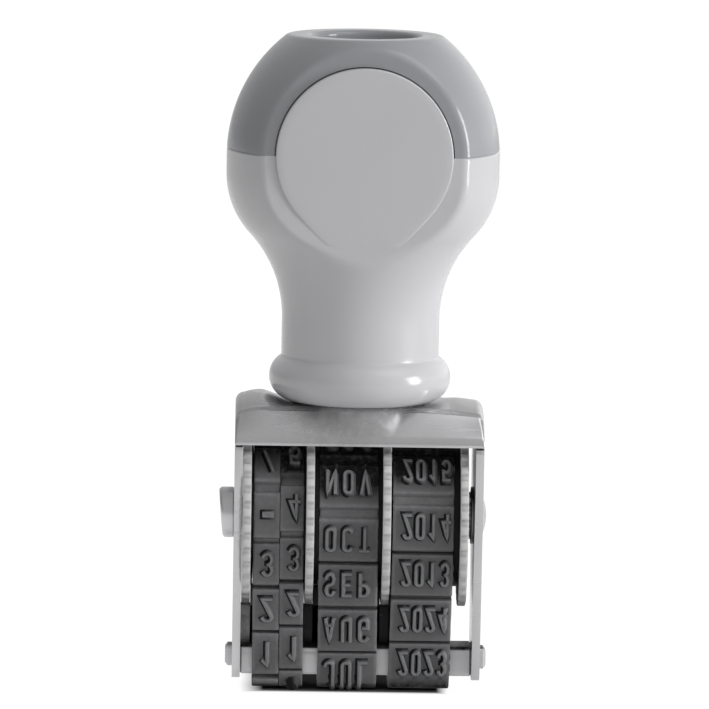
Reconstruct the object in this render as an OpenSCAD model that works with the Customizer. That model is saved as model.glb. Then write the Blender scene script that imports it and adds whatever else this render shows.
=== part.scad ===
// Hand date stamp: a bulb handle on a bent steel frame that carries four
// rubber date bands, each turned by its own thumbwheel and pressed down by a platen bar.
// The printing face of the bands is at Z = 0, the front is -Y and the axle lies along X.

/* [Rubber bands] */
// Width of the day tens, day units, month and year bands
band_w = [3.3, 2.95, 7.7, 7.95]; // [2:0.05:12]
// Thickness of a band between its pads
band_t = 0.6; // [0.4:0.05:1.2]
// Height of a pad above the band
pad_h = 1.0; // [0.5:0.1:1.6]
// Number of pads round each band
pad_count = 12; // [10:1:14]
// Width of the groove between two pads
groove_w = 0.35; // [0.2:0.05:0.8]
// How far each band has been wound on from its printing position
band_shift = [0.95, 1.72, -1.68, -0.3]; // [-3:0.01:3]

/* [Thumbwheels] */
// Radius of a thumbwheel over its teeth
wheel_r = 11.84; // [10:0.1:14]
// Thickness of a thumbwheel's toothed rim
rim_t = 1.05; // [0.8:0.05:2]
// Number of teeth on a rim
tooth_count = 36; // [24:4:72]
// Depth of the notches between the teeth
tooth_h = 0.4; // [0.2:0.05:0.8]
// Radius over the corners of the eight-sided drum that drives a band
drum_r = 7.6; // [6.5:0.1:8.5]
// Room between each band and the rim beside it
rim_room = [0.3, 0.25, 0.5, 0.75]; // [0.2:0.05:1.5]
// Room between each band and the free end of its drum
end_room = [0.1, 0.1, 0.55, 0.15]; // [0.1:0.05:1.5]
// Height of the flanges that keep a band on its drum
flange_h = 1.0; // [0.4:0.1:1.6]

/* [Axle] */
// Height of the axle above the platen's underside
axle_rise = 20.85; // [19:0.1:25]
// Radius of the axle
axle_r = 2.0; // [1.5:0.1:2.4]
// Radius of the axle's head
head_r = 3.3; // [2.8:0.1:4.5]
// Length of the axle's head
head_len = 1.7; // [1:0.1:3]
// Radius of the axle's riveted end
rivet_r = 2.85; // [2.6:0.05:4]
// Height of the riveted end
rivet_h = 0.7; // [0.4:0.1:1.5]
// Radius of the plain washer
washer_r = 3.75; // [3:0.05:5]
// Thickness of the plain washer
washer_t = 0.3; // [0.2:0.05:1]
// Radius over the teeth of the toothed friction washer
star_r = 3.1; // [2.9:0.05:4]
// Thickness of the toothed friction washer
star_t = 0.45; // [0.3:0.05:1]
// Number of teeth on the friction washer
star_teeth = 12; // [8:1:16]

/* [Frame] */
// Thickness of the frame's sheet steel
sheet_t = 1.05; // [0.8:0.05:1.5]
// Radius of the bend from the frame's top to its sides
bend_r = 2.2; // [1.6:0.1:3]
// Depth of the flat top beside the handle's seat
arm_d = 12; // [9:0.5:15]
// Radius of the round seat pressed up under the handle, at its top
seat_r = 9.1; // [8.9:0.1:11]
// How much wider the seat is at its foot
seat_flare = 1.1; // [0.4:0.1:2]
// Depth of the frame over its front and back skirts
skirt_d = 19.6; // [17:0.2:24]
// Drop from the top of the frame to the lower edge of a skirt
skirt_drop = 4.9; // [3.5:0.1:7]
// Height of the upright lip along the edge of a skirt
lip_h = 0.9; // [0.5:0.1:1.5]
// Depth of a side plate at its foot
foot_d = 11.5; // [9:0.1:14]
// Height of the side plates' feet above the printing face
foot_z = 1.4; // [0.8:0.1:2.5]
// Corner radius of a foot
foot_r = 1.6; // [0.5:0.1:3]

/* [Platen] */
// Depth of the platen bar
platen_d = 6.0; // [5:0.1:7]
// Height of the platen bar
platen_h = 3.9; // [3.2:0.1:5]
// Radius of the platen's lower edges
platen_r = 0.6; // [0.3:0.1:1.2]
// Depth of the lugs at the platen's ends
lug_d = 3.6; // [2:0.1:4.5]
// Height of the lugs
lug_h = 2.7; // [1.5:0.1:3]
// How far the lugs stand out of the side plates
lug_out = 0.9; // [0.3:0.1:1.5]

// Thickness of the guide rib that stands on the platen inside the bands
rib_t = 1.6; // [1:0.1:2.4]
// How far the rib stops short of the year band's outer edge
rib_in = 0.8; // [0.4:0.1:3]

/* [Handle] */
// Radius of the collar roll at the handle's foot
collar_r = 11.8; // [10.8:0.1:13]
// Height of the collar roll
collar_h = 6.2; // [5:0.1:7]
// Radius of the neck
neck_r = 10.25; // [9.4:0.05:11]
// Height of the neck's upper end above the frame
neck_h = 10.7; // [9:0.1:13]
// Largest radius of the bulb
bulb_r = 17.7; // [16:0.1:20]
// Drop from the handle's top to the bulb's widest place
bulb_drop = 15.7; // [14:0.1:20]
// Height of the upright belt at the bulb's widest place
belt_h = 2.4; // [0.5:0.1:4]
// Radius of the bulb's outline below the belt
bulb_low_r = 11.4; // [10:0.1:13]
// Height of the handle
handle_h = 47.6; // [44:0.1:54]
// Height of the seam between body and cap above the bulb's belt
seam_rise = 0.85; // [0.2:0.05:3]
// Thickness of the cap's wall
cap_wall = 2.4; // [1.6:0.1:3]
// Radius of the finger dish in the cap
dish_r = 7.0; // [5:0.1:8]
// Width of the rim round the finger dish
rim_w = 3.0; // [2.4:0.1:4]
// Depth of the finger dish
dish_h = 4.6; // [4.3:0.1:6]
// Radius of the rim's inner edge, at the dish
rim_edge_r = 0.7; // [0.3:0.1:1]
// Radius of the rim's outer edge
rim_out_r = 1.1; // [0.4:0.1:1.4]
// Depth of the handle over the flats at its front and back, at the seam
flat_d = 23.6; // [22:0.1:26]
// Angle at which each flat leans in towards the handle's top
flat_lean = 2.5; // [0.5:0.1:3]
// How far a face plate stands out of its flat at the seam
face_out = 0.5; // [0.2:0.05:1]
// Radius of the round upper part of a face plate
face_r = 11.4; // [9:0.1:12]
// Distance from the face plate's centre down to the centre of its tip
tip_drop = 13.9; // [12:0.1:15]
// Radius of the face plate's tip
tip_r = 2.0; // [1:0.1:4]
// Distance from the face plate's centre down to where it has run into its flat
face_drop = 13.0; // [12.4:0.1:13.6]

/* [Handle screw] */
// Radius of the screw
screw_r = 1.5; // [1.25:0.05:2]
// Length of the screw in the handle
screw_grip = 10; // [6:0.5:14]
// Radius of the screw's head
screw_head_r = 2.75; // [2.4:0.05:3.5]
// Height of the screw's head
screw_head_h = 1.5; // [1:0.1:2.5]
// Radius of the spring washer under the head
lock_r = 3.2; // [2.8:0.1:4.5]
// Thickness of the spring washer
lock_t = 0.45; // [0.3:0.05:1]

/* [Clearances] */
// Gap between a wheel's bore and the axle
bore_gap = 0.06; // [0.02:0.01:0.1]
// Gap between a drum's corners and its band
drum_gap = 0.12; // [0.1:0.02:0.4]
// Gap between the platen and a band
platen_gap = 0.05; // [0.03:0.01:0.2]
// Gap between a drum's flange and its band
flange_gap = 0.12; // [0.08:0.02:0.18]
// Gap between the platen's rib and the wheels
rib_gap = 0.3; // [0.2:0.05:0.8]
// Gap between neighbouring wheels
wheel_gap = 0.1; // [0.08:0.02:0.3]
// Gap between the wheels and what closes the stack at its ends
stack_gap = 0.12; // [0.08:0.02:0.3]
// Gap round an axle or screw in its hole
hole_gap = 0.06; // [0.04:0.02:0.3]
// Gap round a lug in its slot
lug_gap = 0.05; // [0.03:0.01:0.2]
// Gap between the cap and the body inside it
cap_gap = 0.1; // [0.05:0.05:0.3]
// Gap between the cap's notch and the face plate
face_gap = 0.15; // [0.1:0.05:0.4]
// Room between the screw's head and the wheels
head_gap = 0.15; // [0.1:0.05:0.5]

/* [Hidden] */
$fn = 96;

// A small overlap where one form runs into the next
eps = 0.05;
// The wheels from left to right: only the first has its rim at its left end
TENS = 0;
UNITS = TENS + 1;
MONTH = UNITS + 1;
YEAR = MONTH + 1;

// Heights
platen_z = band_t + pad_h + platen_gap;
axle_z = platen_z + axle_rise;
frame_top = axle_z + wheel_r + head_gap + screw_head_h + lock_t + sheet_t;
skirt_z = frame_top - skirt_drop;
handle_top = frame_top + handle_h;
bulb_z = handle_top - bulb_drop;
seam_z = bulb_z + seam_rise;

// Places along the axle
function drum_len(i) = band_w[i] + rim_room[i] + end_room[i];
function wheel_len(i) = rim_t + drum_len(i);
wheels_len = wheel_len(TENS) + wheel_len(UNITS) + wheel_len(MONTH) + wheel_len(YEAR) + 3 * wheel_gap;
inner_w = stack_gap + wheels_len + stack_gap + star_t + washer_t;
frame_w = inner_w + 2 * sheet_t;
function wheel_x(i) = i == TENS ? stack_gap - inner_w / 2 : wheel_x(i - 1) + wheel_len(i - 1) + wheel_gap;
function rim_x(i) = wheel_x(i) + (i == TENS ? 0 : drum_len(i));
function drum_x(i) = wheel_x(i) + (i == TENS ? rim_t : 0);
function band_x(i) = drum_x(i) + (i == TENS ? rim_room[i] : end_room[i]);

// Points along an arc about centre c, from angle a0 to a1 in n steps
function arc(c, r, a0, a1, n) =
    [for (k = [0 : n]) let (a = a0 + (a1 - a0) * k / n) [c[0] + r * cos(a), c[1] + r * sin(a)]];

// Extrudes an outline drawn in Y and Z from x0 to x1
module along_x(x0, x1) {
    translate([x0, 0, 0]) rotate([90, 0, 90]) linear_extrude(x1 - x0) children();
}

// Extrudes an outline drawn in X and Z from y0 to y1
module along_y(y0, y1) {
    translate([0, y1, 0]) rotate([90, 0, 0]) linear_extrude(y1 - y0) children();
}

// Turns an outline drawn in radius and distance about the axle's line, from x0 on
module about_axle(x0) {
    translate([x0, 0, axle_z]) rotate([0, 90, 0]) rotate_extrude() children();
}

// A round hole or bar along the axle's line
module axle_bar(r, x0, x1) {
    translate([x0, 0, axle_z]) rotate([0, 90, 0]) cylinder(r = r, h = x1 - x0);
}

// Both sides of what is mirrored front to back
module front_and_back() {
    children();
    mirror([0, 1, 0]) children();
}

// The loop of a band: its inner side runs flat under the platen, bends round the platen's
// edge, runs straight up to the drum and turns over it. Half of it is worked out here, from
// the middle of the platen, by distance s along the loop. Each point is [y, z, angle of the
// outward normal].
loop_r = drum_r + drum_gap;
edge_r = platen_r + platen_gap;
edge_y = platen_d / 2 - platen_r;
edge_z = platen_z + platen_r;
centres = norm([edge_y, axle_z - edge_z]);
run_angle = atan2(edge_z - axle_z, edge_y) + acos((loop_r - edge_r) / centres);
flat_end = edge_y;
edge_end = flat_end + edge_r * (run_angle + 90) * PI / 180;
run_end = edge_end + sqrt(pow(centres, 2) - pow(loop_r - edge_r, 2));
half_loop = run_end + loop_r * (90 - run_angle) * PI / 180;
loop_len = 2 * half_loop;
pad_pitch = loop_len / pad_count;
pad_half = (pad_pitch - groove_w) / 2;

function on_circle(y, z, r, a) = [y + r * cos(a), z + r * sin(a), a];
function half_path(s) =
    s < flat_end ? [s, edge_z - edge_r, -90] :
    s < edge_end ? on_circle(edge_y, edge_z, edge_r, -90 + (s - flat_end) / edge_r * 180 / PI) :
    s < run_end ? let (p = on_circle(edge_y, edge_z, edge_r, run_angle))
        [p[0] - (s - edge_end) * sin(run_angle), p[1] + (s - edge_end) * cos(run_angle), run_angle] :
    on_circle(0, axle_z, loop_r, run_angle + (s - run_end) / loop_r * 180 / PI);
function wrapped(s) = s - loop_len * floor(s / loop_len);
// The front run comes first: there the half path is turned over to -Y
function path(s) = let (w = wrapped(s), p = half_path(w < half_loop ? w : loop_len - w))
    w < half_loop ? [-p[0], p[1], 180 - p[2]] : p;
// A point of the loop moved out by d
function out_by(s, d) = let (p = path(s)) [p[0] + d * cos(p[2]), p[1] + d * sin(p[2])];

// One side of a band as an outline: fine steps on the bends, none on the straights
edge_steps = 6;
drum_steps = 28;
half_stations = concat(
    [for (k = [0 : edge_steps]) flat_end + (edge_end - flat_end) * k / edge_steps],
    [for (k = [0 : drum_steps - 1]) run_end + (half_loop - run_end) * k / drum_steps]);
stations = concat(half_stations, [half_loop],
    [for (k = [len(half_stations) - 1 : -1 : 0]) loop_len - half_stations[k]]);
function loop_outline(d) = [for (s = stations) out_by(s, d)];

// A pad stays a flat block on the run and the drum, and bends where it lies round the platen's edge
pad_steps = 8;
function pad_bends(s) = let (w = wrapped(s), m = min(w, loop_len - w)) m - pad_half < edge_end;
function pad_stations(s) = [for (k = [0 : pad_steps]) s - pad_half + 2 * pad_half * k / pad_steps];
function pad_block(s) = let (c = out_by(s, band_t + pad_h), a = path(s)[2])
    [for (side = [-1, 1]) [c[0] + side * pad_half * sin(a), c[1] - side * pad_half * cos(a)]];
function pad_top(s) = pad_bends(s) ? [for (q = pad_stations(s)) out_by(q, band_t + pad_h)] : pad_block(s);
function pad_root(s) = [for (k = [pad_steps : -1 : 0]) out_by(pad_stations(s)[k], band_t / 2)];
function pad_outline(s) = concat(pad_top(s), pad_root(s));

module band(i) {
    color("dimgray") along_x(band_x(i), band_x(i) + band_w[i]) {
        difference() {
            polygon(loop_outline(band_t));
            polygon(loop_outline(0));
        }
        for (k = [0 : pad_count - 1]) polygon(pad_outline(band_shift[i] + k * pad_pitch));
    }
}

module tens_band() { band(TENS); }
module units_band() { band(UNITS); }
module month_band() { band(MONTH); }
module year_band() { band(YEAR); }

// A toothed outline: four points to a tooth, two on its tip and two on the floor of the gap after it
tooth_turn = [0, 0.48, 0.56, 0.92];
function teeth(r, h, n) = [for (k = [0 : n - 1], j = [0 : 3])
    let (a = (k + tooth_turn[j]) * 360 / n, q = j < 2 ? r : r - h) [q * cos(a), q * sin(a)]];

// A thumbwheel: a thin toothed rim and an eight-sided drum with a flat to the front, bored for the axle.
// Low flanges beside the band keep it on the drum: one on the rim, and one at the free end where it has room.
flange_r = drum_r + flange_h;
least_flange = 0.2;
module wheel(i) {
    rim_flange = rim_room[i] - flange_gap;
    end_flange = end_room[i] - flange_gap;
    free_x = i == TENS ? drum_x(i) + drum_len(i) - end_flange : drum_x(i);
    color("lightgray") difference() {
        union() {
            translate([0, 0, axle_z]) {
                along_x(rim_x(i), rim_x(i) + rim_t) polygon(teeth(wheel_r, tooth_h, tooth_count));
                along_x(drum_x(i) - eps * (i == TENS ? 1 : 0), drum_x(i) + drum_len(i) + eps * (i == TENS ? 0 : 1))
                    rotate(180 / 8) circle(r = drum_r, $fn = 8);
            }
            axle_bar(flange_r, rim_x(i) + (i == TENS ? rim_t - eps : -rim_flange),
                rim_x(i) + (i == TENS ? rim_t + rim_flange : eps));
            if (end_flange > least_flange) axle_bar(flange_r, free_x, free_x + end_flange);
        }
        axle_bar(axle_r + bore_gap, wheel_x(i) - 1, wheel_x(i) + wheel_len(i) + 1);
    }
}

module tens_wheel() { wheel(TENS); }
module units_wheel() { wheel(UNITS); }
module month_wheel() { wheel(MONTH); }
module year_wheel() { wheel(YEAR); }

// The axle: a headed rod whose far end is riveted over into a low dome
head_edge = 0.35;
rivet_ball = (pow(rivet_r, 2) + pow(rivet_h, 2)) / (2 * rivet_h);
rivet_angle = asin(rivet_r / rivet_ball);
module axle() {
    head_x = -frame_w / 2 - head_len;
    rod_end = frame_w / 2 - head_x;
    dome = arc([0, rod_end + rivet_h - rivet_ball], rivet_ball, 90 - rivet_angle, 90, 10);
    color("silver") about_axle(head_x) polygon(concat(
        [[0, 0], [head_r - head_edge, 0], [head_r, head_edge], [head_r, head_len], [axle_r, head_len],
            [axle_r, rod_end]], dome));
}

module plain_washer() {
    x0 = inner_w / 2 - washer_t;
    color("gainsboro") difference() {
        axle_bar(washer_r, x0, x0 + washer_t);
        axle_bar(axle_r + hole_gap, x0 - 1, x0 + washer_t + 1);
    }
}

// The friction washer that keeps the wheels from turning by themselves
star_h = 0.5;
module toothed_washer() {
    x0 = inner_w / 2 - washer_t - star_t;
    color("gray") difference() {
        translate([0, 0, axle_z]) along_x(x0, x0 + star_t) polygon(teeth(star_r, star_h, star_teeth));
        axle_bar(axle_r + hole_gap, x0 - 1, x0 + star_t + 1);
    }
}

// The platen bar, with a lug at each end through its side plate. On it stands a thin guide rib, notched
// for the wheels' rims, whose teeth reach up under the drums and keep the bands' runs apart.
lug_z = platen_z + (platen_h - lug_h) / 2 + 0.25;
rib_z = axle_z - wheel_r - rib_gap;
tooth_z = axle_z - flange_r - rib_gap;
rib_end = band_x(YEAR) + band_w[YEAR] - rib_in;
module rib_part(x0, x1, z1) {
    z0 = platen_z + platen_h - eps;
    translate([x0, -rib_t / 2, z0]) cube([x1 - x0, rib_t, z1 - z0]);
}
module rib_tooth(rim_before, rim_after) {
    x0 = rim_x(rim_before) + rim_t + rib_gap / 2;
    rib_part(x0, min(rim_x(rim_after) - rib_gap / 2, rib_end), tooth_z);
}
module platen() {
    y1 = platen_d / 2;
    z1 = platen_z + platen_h;
    lug_x = frame_w / 2 + lug_out;
    color("whitesmoke") {
        along_x(-inner_w / 2, inner_w / 2) polygon(concat(
            [[-y1, z1]], arc([-edge_y, edge_z], platen_r, 180, 270, 6),
            arc([edge_y, edge_z], platen_r, -90, 0, 6), [[y1, z1]]));
        translate([-lug_x, -lug_d / 2, lug_z]) cube([2 * lug_x, lug_d, lug_h]);
        rib_part(-inner_w / 2, rib_end, rib_z);
        rib_tooth(TENS, UNITS);
        rib_tooth(UNITS, MONTH);
        rib_tooth(MONTH, YEAR);
    }
}

// The frame's pressed top as a closed form: a flat top that falls away to an upright lip at front
// and back, with rounded bends to the sides and a round seat in the middle. Inset by t it is the
// hollow under the sheet.
fall_y = (skirt_d - arm_d) / 2;
fall_z = skirt_drop - lip_h;
fall = norm([fall_y, fall_z]);
module top_form(t) {
    z1 = frame_top - t;
    y1 = skirt_d / 2 - t;
    x1 = frame_w / 2 - t;
    z0 = skirt_z - t;
    // Where the sloping line, moved in by t, meets the flat top and the lip
    top_y = arm_d / 2 - t * (fall - fall_y) / fall_z;
    lip_z = skirt_z + lip_h - t * (fall - fall_z) / fall_y;
    intersection() {
        along_y(-skirt_d, skirt_d) polygon(concat(
            [[-x1, z0], [x1, z0]], arc([frame_w / 2 - bend_r, frame_top - bend_r], bend_r - t, 0, 90, 8),
            arc([bend_r - frame_w / 2, frame_top - bend_r], bend_r - t, 90, 180, 8)));
        union() {
            along_x(-frame_w, frame_w) polygon([[-y1, z0], [y1, z0], [y1, lip_z], [top_y, z1],
                [-top_y, z1], [-y1, lip_z]]);
            intersection() {
                translate([0, 0, z0]) cylinder(r1 = seat_r + seat_flare - t, r2 = seat_r - t, h = z1 - z0);
                translate([-frame_w, -y1, z0 - 1]) cube([2 * frame_w, 2 * y1, z1 - z0 + 2]);
            }
        }
    }
}

// A side plate's outline below the skirts, narrowing to a foot with rounded corners
module plate_outline() {
    y1 = skirt_d / 2;
    foot_y = foot_d / 2 - foot_r;
    lean = atan2(y1 - foot_d / 2, skirt_z - foot_z);
    polygon(concat([[-y1, skirt_z + eps]], arc([-foot_y, foot_z + foot_r], foot_r, 180 + lean, 270, 8),
        arc([foot_y, foot_z + foot_r], foot_r, -90, -lean, 8), [[y1, skirt_z + eps]]));
}

module frame() {
    color("darkgray") difference() {
        union() {
            difference() {
                top_form(0);
                top_form(sheet_t);
            }
            along_x(-frame_w / 2, -inner_w / 2) plate_outline();
            along_x(inner_w / 2, frame_w / 2) plate_outline();
        }
        axle_bar(axle_r + hole_gap, -frame_w, frame_w);
        translate([-frame_w, -lug_d / 2 - lug_gap, lug_z - lug_gap])
            cube([2 * frame_w, lug_d + 2 * lug_gap, lug_h + 2 * lug_gap]);
        translate([0, 0, frame_top - 2 * sheet_t]) cylinder(r = screw_r + hole_gap, h = 3 * sheet_t);
    }
}

module handle_screw() {
    head_z = frame_top - sheet_t - lock_t - screw_head_h;
    color("silver") translate([0, 0, head_z]) {
        cylinder(r = screw_head_r, h = screw_head_h);
        cylinder(r = screw_r, h = screw_head_h + lock_t + sheet_t + screw_grip);
    }
}

module spring_washer() {
    color("gray") translate([0, 0, frame_top - sheet_t - lock_t]) difference() {
        cylinder(r = lock_r, h = lock_t);
        translate([0, 0, -1]) cylinder(r = screw_r + hole_gap, h = lock_t + 2);
    }
}

// The handle's outline in radius and height: a collar roll, a neck, a hollow flare and a bulb of two arcs
roll_r = collar_h / 2;
roll_c = [collar_r - roll_r, frame_top + roll_r];
belt_z = bulb_z - belt_h;
low_c = [bulb_r - bulb_low_r, belt_z];
// The upper arc's radius, at which it rises upright from the widest place and ends at the rim
bulb_in = bulb_r - dish_r - rim_w;
bulb_top_r = (pow(bulb_in, 2) + pow(bulb_drop, 2)) / (2 * bulb_in);
top_c = [bulb_r - bulb_top_r, bulb_z];
neck_z = frame_top + neck_h;
// The flare's radius, at which it meets the neck and the bulb smoothly
flare_a = neck_r - low_c[0];
flare_b = belt_z - neck_z;
flare_r = (pow(flare_a, 2) + pow(flare_b, 2) - pow(bulb_low_r, 2)) / (2 * (bulb_low_r - flare_a));
flare_c = [neck_r + flare_r, neck_z];
flare_end = atan2(low_c[1] - flare_c[1], low_c[0] - flare_c[0]);
// Angle and radius on the bulb's upper arc, moved in by d, at height z
function top_angle(z, d) = asin((z - bulb_z) / (bulb_top_r - d));
function top_radius(z, d) = top_c[0] + sqrt(pow(bulb_top_r - d, 2) - pow(z - bulb_z, 2));

// Half the depth between the leaning flats at height z, moved in by inset
function flat_half(z, inset) = flat_d / 2 - inset + (seam_z - z) * tan(flat_lean);

module between_flats(inset) {
    z0 = frame_top - 1;
    z1 = handle_top + 1;
    a = flat_half(z0, inset);
    b = flat_half(z1, inset);
    intersection() {
        children();
        along_x(-2 * bulb_r, 2 * bulb_r) polygon([[-a, z0], [a, z0], [b, z1], [-b, z1]]);
    }
}

// The face plate's outline: round about the seam's height, narrowing below until it runs into its flat
module face_outline(gap) {
    intersection() {
        hull() {
            translate([0, seam_z]) circle(r = face_r + gap, $fn = 72);
            translate([0, seam_z - tip_drop]) circle(r = tip_r + gap, $fn = 72);
        }
        translate([-2 * face_r, seam_z - face_drop]) square(4 * face_r);
    }
}

face_y = flat_d / 2 + face_out;
face_back = flat_half(seam_z + face_r, cap_wall + cap_gap);
dish_z = handle_top - dish_h;
spigot_z = dish_z - cap_wall;

// The spigot under the cap, as a closed form grown by gap
module spigot(gap) {
    inset = cap_wall + cap_gap - gap;
    z0 = seam_z - 2 * eps;
    z1 = spigot_z - cap_gap + gap;
    between_flats(inset) rotate_extrude() polygon(concat([[0, z0]],
        arc(top_c, bulb_top_r - inset, top_angle(z0, inset), top_angle(z1, inset), 12), [[0, z1]]));
}

module handle_body() {
    roll_end = acos((neck_r - roll_c[0]) / roll_r);
    color("lightgray") difference() {
        union() {
            between_flats(0) rotate_extrude() polygon(concat([[0, frame_top]],
                arc(roll_c, roll_r, -90, roll_end, 20), arc(flare_c, flare_r, 180, flare_end, 14),
                arc(low_c, bulb_low_r, flare_end - 180, 0, 14),
                arc(top_c, bulb_top_r, 0, top_angle(seam_z, 0), 2), [[0, seam_z]]));
            spigot(0);
            front_and_back() along_y(-face_y, -face_back + eps) face_outline(0);
        }
        translate([0, 0, frame_top - 1]) cylinder(r = screw_r + hole_gap, h = screw_grip + 2);
    }
}

module handle_cap() {
    edge_z = handle_top - rim_edge_r;
    out_c = [top_radius(handle_top - rim_out_r, rim_out_r), handle_top - rim_out_r];
    out_a = top_angle(out_c[1], rim_out_r);
    color("gray") difference() {
        between_flats(0) rotate_extrude() polygon(concat([[0, seam_z]],
            arc(top_c, bulb_top_r, top_angle(seam_z, 0), out_a, 24), arc(out_c, rim_out_r, out_a, 90, 6),
            arc([dish_r + rim_edge_r, edge_z], rim_edge_r, 90, 180, 6),
            [[dish_r, dish_z + 2 * rim_edge_r]],
            arc([dish_r - 2 * rim_edge_r, dish_z + 2 * rim_edge_r], 2 * rim_edge_r, 0, -90, 6),
            [[0, dish_z]]));
        spigot(cap_gap);
        front_and_back() along_y(-2 * bulb_r, -face_back + face_gap) face_outline(face_gap);
    }
}

handle_body();
handle_cap();
handle_screw();
spring_washer();
frame();
platen();
axle();
plain_washer();
toothed_washer();
tens_wheel();
units_wheel();
month_wheel();
year_wheel();
tens_band();
units_band();
month_band();
year_band();
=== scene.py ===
"""Hand date stamp: a two-tone bulb handle on a plated frame, with thumbwheels and rubber date bands.

The forms are worked out in millimetres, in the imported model's own frame, and go into the meshes in metres.
The front of the stamp faces -Y, the axle lies along X and the printing face is at Z = 0.
"""
import math

import bmesh
import bpy
import numpy as np
from mathutils import Matrix, Vector


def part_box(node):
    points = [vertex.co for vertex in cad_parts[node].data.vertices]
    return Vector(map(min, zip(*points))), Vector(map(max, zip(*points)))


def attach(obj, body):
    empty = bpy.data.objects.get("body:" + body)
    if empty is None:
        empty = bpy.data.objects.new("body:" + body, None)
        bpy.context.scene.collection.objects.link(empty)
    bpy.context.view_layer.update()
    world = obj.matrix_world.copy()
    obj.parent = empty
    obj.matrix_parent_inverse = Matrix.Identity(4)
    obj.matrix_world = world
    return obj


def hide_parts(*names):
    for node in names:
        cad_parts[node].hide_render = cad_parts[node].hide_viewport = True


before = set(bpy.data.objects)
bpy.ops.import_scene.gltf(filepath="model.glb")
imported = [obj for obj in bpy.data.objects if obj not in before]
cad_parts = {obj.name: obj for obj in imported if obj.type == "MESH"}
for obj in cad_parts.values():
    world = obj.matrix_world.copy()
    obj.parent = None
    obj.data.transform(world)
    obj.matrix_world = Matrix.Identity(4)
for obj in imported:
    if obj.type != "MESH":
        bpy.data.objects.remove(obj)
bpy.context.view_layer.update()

MM = 0.001


def span(node):
    """A solid's lowest and highest corner, in millimetres."""
    low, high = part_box(node)
    return np.array(low) / MM, np.array(high) / MM


# Measures read from the solids
FRAME_X, SKIRT_Y, FRAME_TOP = span("frame")[1]
FOOT_Z = span("frame")[0][2]
wheel_low, wheel_high = span("tens_wheel")
AXLE_Z = (wheel_low[2] + wheel_high[2]) / 2
WHEEL_R = (wheel_high[2] - wheel_low[2]) / 2
BULB_R = span("handle_body")[1][0]
SEAM_Z = span("handle_cap")[0][2]
FLAT_Y, HANDLE_TOP = span("handle_cap")[1][1:]

# Measures of the bands and their loop
BAND_T = 0.6
PAD_H = 1.0
PAD_COUNT = 12
GROOVE_W = 0.35
DRUM_R = 7.6
LOOP_R = DRUM_R + 0.12
PLATEN_Z, PLATEN_TOP, PLATEN_D, PLATEN_R = 1.65, 5.55, 6.0, 0.6
EDGE_R = PLATEN_R + 0.05
EDGE_Y = PLATEN_D / 2 - PLATEN_R
EDGE_Z = PLATEN_Z + PLATEN_R


# Mesh making

def grid_faces(rows, cols, wrap_rows, wrap_cols):
    """Four-cornered faces between the neighbouring points of a grid, closed on itself where it wraps."""
    r = np.arange(rows if wrap_rows else rows - 1)[:, None]
    c = np.arange(cols if wrap_cols else cols - 1)[None, :]
    r2, c2 = (r + 1) % rows, (c + 1) % cols
    return np.stack([r * cols + c, r * cols + c2, r2 * cols + c2, r2 * cols + c], -1).reshape(-1, 4)


def make_mesh(name, grids, closed=True, sharp=35, marks=None):
    """One mesh from grids of millimetre points. A grid is (points, wraps by rows, wraps by columns).

    Doubles along seams and at poles are merged. A closed form then has its faces turned outwards."""
    points, faces, first = [], [], 0
    for pts, wrap_rows, wrap_cols in grids:
        rows, cols = pts.shape[:2]
        faces.append(grid_faces(rows, cols, wrap_rows, wrap_cols) + first)
        points.append(pts.reshape(-1, 3))
        first += rows * cols
    points, faces = np.concatenate(points), np.concatenate(faces)
    mesh = bpy.data.meshes.new(name)
    mesh.vertices.add(len(points))
    mesh.vertices.foreach_set("co", (points * MM).ravel())
    mesh.loops.add(faces.size)
    mesh.loops.foreach_set("vertex_index", faces.ravel().astype(np.int32))
    mesh.polygons.add(len(faces))
    mesh.polygons.foreach_set("loop_start", np.arange(0, faces.size, 4, dtype=np.int32))
    mesh.update(calc_edges=True)
    if marks is not None:
        mesh.attributes.new("mark", "FLOAT", "POINT").data.foreach_set("value", marks.astype(np.float32))
    bm = bmesh.new()
    bm.from_mesh(mesh)
    bmesh.ops.remove_doubles(bm, verts=bm.verts, dist=2e-6)
    bmesh.ops.dissolve_degenerate(bm, edges=bm.edges, dist=1e-7)
    if closed:
        bmesh.ops.recalc_face_normals(bm, faces=bm.faces)
    bm.to_mesh(mesh)
    bm.free()
    mesh.shade_smooth()
    mesh.set_sharp_from_angle(angle=math.radians(sharp))
    return mesh


def link(name, data):
    """A new object in the scene, with its data."""
    obj = bpy.data.objects.new(name, data)
    bpy.context.scene.collection.objects.link(obj)
    return obj


def put(name, mesh, finish, body="root", nodes=()):
    """Puts a mesh into the scene as a piece that rides on a body and stands for its nodes."""
    obj = link(name, mesh)
    mesh.materials.append(finish.material)
    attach(obj, body)
    if nodes:
        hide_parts(*nodes)
    return obj


def piece(name, grids, finish, body="root", nodes=(), **how):
    """Makes a mesh and puts it into the scene under its own name."""
    return put(name, make_mesh(name, grids, **how), finish, body, nodes)


def arc(centre, radius, start, end, steps):
    """Points on a circle's arc between two angles in degrees."""
    a = np.radians(np.linspace(start, end, steps + 1))
    return np.stack([centre[0] + radius * np.cos(a), centre[1] + radius * np.sin(a)], -1)


def soft_min(a, b, k):
    """The lesser of two values, with the corner where they cross rounded over a reach of k."""
    h = np.clip(k - np.abs(a - b), 0, None) / k
    return np.minimum(a, b) - h * h * k / 4


def soft_max(a, b, k):
    """The greater of two values, with the corner where they cross rounded over a reach of k."""
    return -soft_min(-a, -b, k)


def full_turn(steps):
    """Evenly spaced angles round a circle."""
    return np.linspace(0, 2 * np.pi, steps, endpoint=False)


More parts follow.
